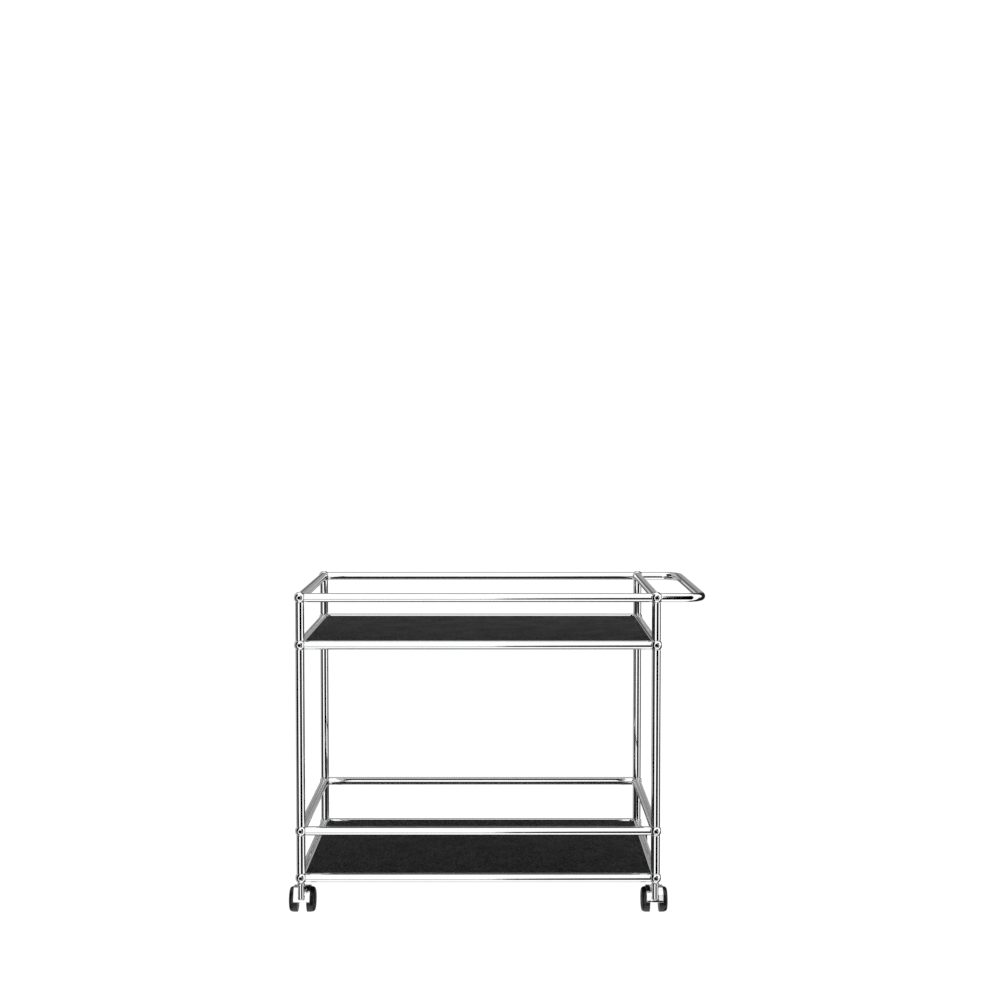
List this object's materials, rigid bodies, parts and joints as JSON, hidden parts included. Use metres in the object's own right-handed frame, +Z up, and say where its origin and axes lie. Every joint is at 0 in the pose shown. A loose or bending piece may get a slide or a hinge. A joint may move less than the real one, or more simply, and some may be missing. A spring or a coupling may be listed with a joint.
{
  "type": "serving trolley",
  "caption": "Serving trolley of chrome tubes and balls with two solid black shelves, guard rails, an end handle and twin-wheel swivel castors.",
  "frame": {"origin": "on the floor, at the middle of the whole trolley's box in X and Y, with the castors trailing towards +Y", "axes": "+Z up, +X along the cart towards the handle, +Y across it from the front to the back"},
  "size_m": [0.885, 0.5696, 0.6875],
  "materials": {
    "tube_chrome": "polished chrome plate on steel tube",
    "ball_chrome": "polished chrome plate",
    "shelf_black": "fine-grained black powder coat, semi-matte",
    "hood_chrome": "polished chrome plate",
    "wheel_black": "satin black, slightly worn tread"
  },
  "bodies": {
    "frame": {"ball_lower_shelf_front_left": "ball_chrome", "ball_lower_shelf_front_right": "ball_chrome", "ball_lower_shelf_back_left": "ball_chrome", "ball_lower_shelf_back_right": "ball_chrome", "ball_lower_guard_front_left": "ball_chrome", "ball_lower_guard_front_right": "ball_chrome", "ball_lower_guard_back_left": "ball_chrome", "ball_lower_guard_back_right": "ball_chrome", "ball_upper_shelf_front_left": "ball_chrome", "ball_upper_shelf_front_right": "ball_chrome", "ball_upper_shelf_back_left": "ball_chrome", "ball_upper_shelf_back_right": "ball_chrome", "ball_upper_guard_front_left": "ball_chrome", "ball_upper_guard_front_right": "ball_chrome", "ball_upper_guard_back_left": "ball_chrome", "ball_upper_guard_back_right": "ball_chrome", "post_lower_front_left": "tube_chrome", "post_lower_front_right": "tube_chrome", "post_lower_back_left": "tube_chrome", "post_lower_back_right": "tube_chrome", "post_middle_front_left": "tube_chrome", "post_middle_front_right": "tube_chrome", "post_middle_back_left": "tube_chrome", "post_middle_back_right": "tube_chrome", "post_upper_front_left": "tube_chrome", "post_upper_front_right": "tube_chrome", "post_upper_back_left": "tube_chrome", "post_upper_back_right": "tube_chrome", "rail_lower_shelf_front": "tube_chrome", "rail_lower_shelf_back": "tube_chrome", "rail_lower_shelf_left": "tube_chrome", "rail_lower_shelf_right": "tube_chrome", "rail_lower_guard_front": "tube_chrome", "rail_lower_guard_back": "tube_chrome", "rail_lower_guard_left": "tube_chrome", "rail_lower_guard_right": "tube_chrome", "rail_upper_shelf_front": "tube_chrome", "rail_upper_shelf_back": "tube_chrome", "rail_upper_shelf_left": "tube_chrome", "rail_upper_shelf_right": "tube_chrome", "rail_upper_guard_front": "tube_chrome", "rail_upper_guard_back": "tube_chrome", "rail_upper_guard_left": "tube_chrome", "rail_upper_guard_right": "tube_chrome", "handle": "tube_chrome", "shelf_lower": "shelf_black", "shelf_upper": "shelf_black"},
    "castor_front_left": {"castor_front_left_hood": "hood_chrome"},
    "castor_front_left_wheel_left": {"castor_front_left_wheel_left": "wheel_black"},
    "castor_front_left_wheel_right": {"castor_front_left_wheel_right": "wheel_black"},
    "castor_front_right": {"castor_front_right_hood": "hood_chrome"},
    "castor_front_right_wheel_left": {"castor_front_right_wheel_left": "wheel_black"},
    "castor_front_right_wheel_right": {"castor_front_right_wheel_right": "wheel_black"},
    "castor_back_left": {"castor_back_left_hood": "hood_chrome"},
    "castor_back_left_wheel_left": {"castor_back_left_wheel_left": "wheel_black"},
    "castor_back_left_wheel_right": {"castor_back_left_wheel_right": "wheel_black"},
    "castor_back_right": {"castor_back_right_hood": "hood_chrome"},
    "castor_back_right_wheel_left": {"castor_back_right_wheel_left": "wheel_black"},
    "castor_back_right_wheel_right": {"castor_back_right_wheel_right": "wheel_black"}
  },
  "joints": [
    {"name": "swivel_front_left", "type": "hinge", "parent": "frame", "child": "castor_front_left", "pos_m": [-0.4145, -0.27335, 0.0645], "axis": [0, 0, 1], "continuous": true},
    {"name": "roll_front_left_left", "type": "hinge", "parent": "castor_front_left", "child": "castor_front_left_wheel_left", "pos_m": [-0.4335, -0.24335, 0.027], "axis": [1, 0, 0], "continuous": true},
    {"name": "roll_front_left_right", "type": "hinge", "parent": "castor_front_left", "child": "castor_front_left_wheel_right", "pos_m": [-0.3955, -0.24335, 0.027], "axis": [1, 0, 0], "continuous": true},
    {"name": "swivel_front_right", "type": "hinge", "parent": "frame", "child": "castor_front_right", "pos_m": [0.3355, -0.27335, 0.0645], "axis": [0, 0, 1], "continuous": true},
    {"name": "roll_front_right_left", "type": "hinge", "parent": "castor_front_right", "child": "castor_front_right_wheel_left", "pos_m": [0.3165, -0.24335, 0.027], "axis": [1, 0, 0], "continuous": true},
    {"name": "roll_front_right_right", "type": "hinge", "parent": "castor_front_right", "child": "castor_front_right_wheel_right", "pos_m": [0.3545, -0.24335, 0.027], "axis": [1, 0, 0], "continuous": true},
    {"name": "swivel_back_left", "type": "hinge", "parent": "frame", "child": "castor_back_left", "pos_m": [-0.4145, 0.22665, 0.0645], "axis": [0, 0, 1], "continuous": true},
    {"name": "roll_back_left_left", "type": "hinge", "parent": "castor_back_left", "child": "castor_back_left_wheel_left", "pos_m": [-0.4335, 0.25666, 0.027], "axis": [1, 0, 0], "continuous": true},
    {"name": "roll_back_left_right", "type": "hinge", "parent": "castor_back_left", "child": "castor_back_left_wheel_right", "pos_m": [-0.3955, 0.25666, 0.027], "axis": [1, 0, 0], "continuous": true},
    {"name": "swivel_back_right", "type": "hinge", "parent": "frame", "child": "castor_back_right", "pos_m": [0.3355, 0.22665, 0.0645], "axis": [0, 0, 1], "continuous": true},
    {"name": "roll_back_right_left", "type": "hinge", "parent": "castor_back_right", "child": "castor_back_right_wheel_left", "pos_m": [0.3165, 0.25666, 0.027], "axis": [1, 0, 0], "continuous": true},
    {"name": "roll_back_right_right", "type": "hinge", "parent": "castor_back_right", "child": "castor_back_right_wheel_right", "pos_m": [0.3545, 0.25666, 0.027], "axis": [1, 0, 0], "continuous": true}
  ]
}
